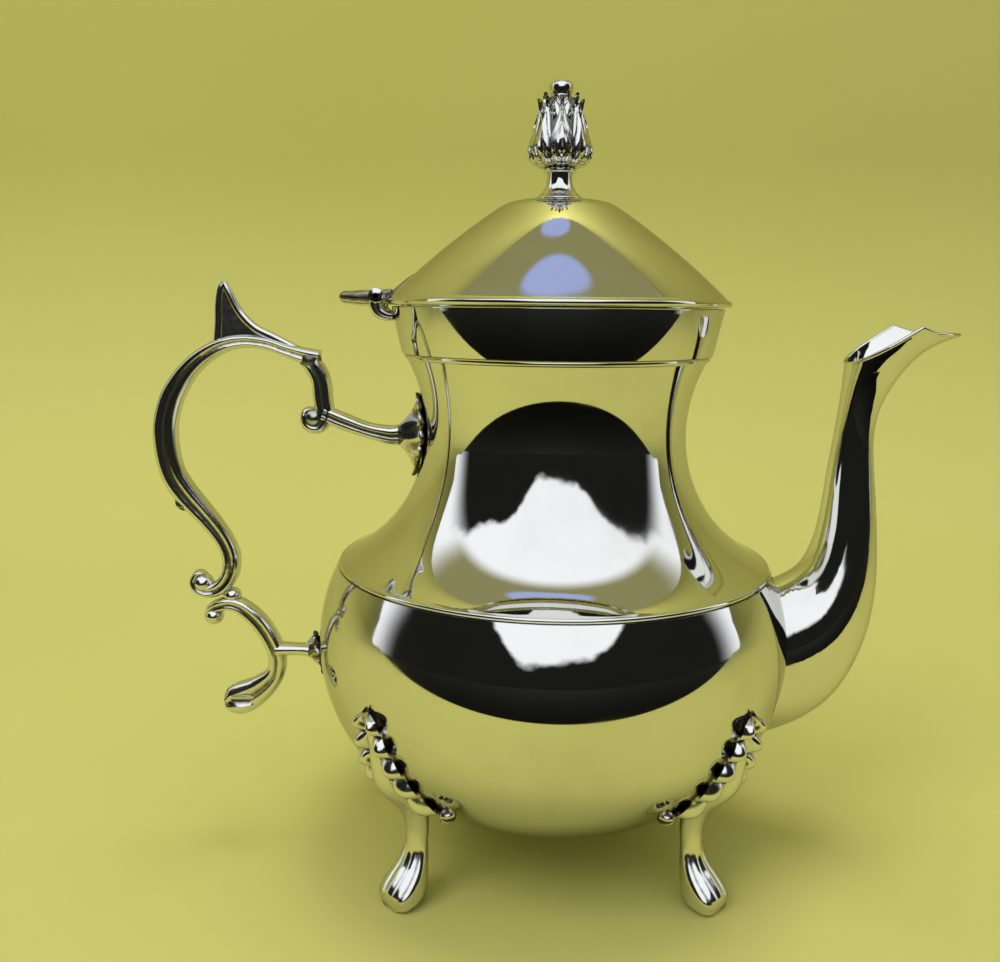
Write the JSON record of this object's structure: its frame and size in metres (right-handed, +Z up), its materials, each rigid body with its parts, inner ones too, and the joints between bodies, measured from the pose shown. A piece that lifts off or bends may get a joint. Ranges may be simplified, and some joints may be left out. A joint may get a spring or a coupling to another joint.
{
  "type": "teapot",
  "caption": "Footed silver-plated teapot with a hinged domed lid, bud finial, gooseneck spout and cast scroll handle, for brewing and pouring tea.",
  "frame": {"origin": "on the axis of the pot, at the level of the soles", "axes": "+Z up along the axis of the pot, +X towards the spout, -X towards the handle"},
  "size_m": [0.2459, 0.1446, 0.2334],
  "materials": {
    "silver_polished": "polished silver plate on spun sheet",
    "silver_cast": "silver-plated castings, darkened in the recesses",
    "brass_fixing": "plain brass fixings"
  },
  "bodies": {
    "pot": {"bowl_lower": "silver_polished", "bowl_upper": "silver_polished", "strainer_plate": "silver_polished", "neck_lower": "silver_polished", "neck_upper": "silver_polished", "gallery_band": "silver_polished", "spout": "silver_polished", "handle_scroll": "silver_cast", "handle_upper_leaf": "silver_cast", "handle_lower_leaf": "silver_cast", "hinge_body_leaf": "silver_cast", "hinge_pin": "brass_fixing", "foot_front_spout": "silver_cast", "foot_front_handle": "silver_cast", "foot_back_spout": "silver_cast", "foot_back_handle": "silver_cast"},
    "lid": {"lid_shell": "silver_polished", "lid_bezel": "silver_polished", "hinge_lid_leaf": "silver_cast", "finial_bud": "silver_cast", "finial_collar": "silver_polished", "finial_pedestal": "silver_polished", "finial_stud": "brass_fixing", "finial_washer": "brass_fixing", "finial_nut": "brass_fixing"}
  },
  "joints": [
    {"name": "lid_hinge", "type": "hinge", "parent": "pot", "child": "lid", "pos_m": [-0.0534, 0, 0.1714], "axis": [0, -1, 0], "range_deg": [0, 85]}
  ]
}
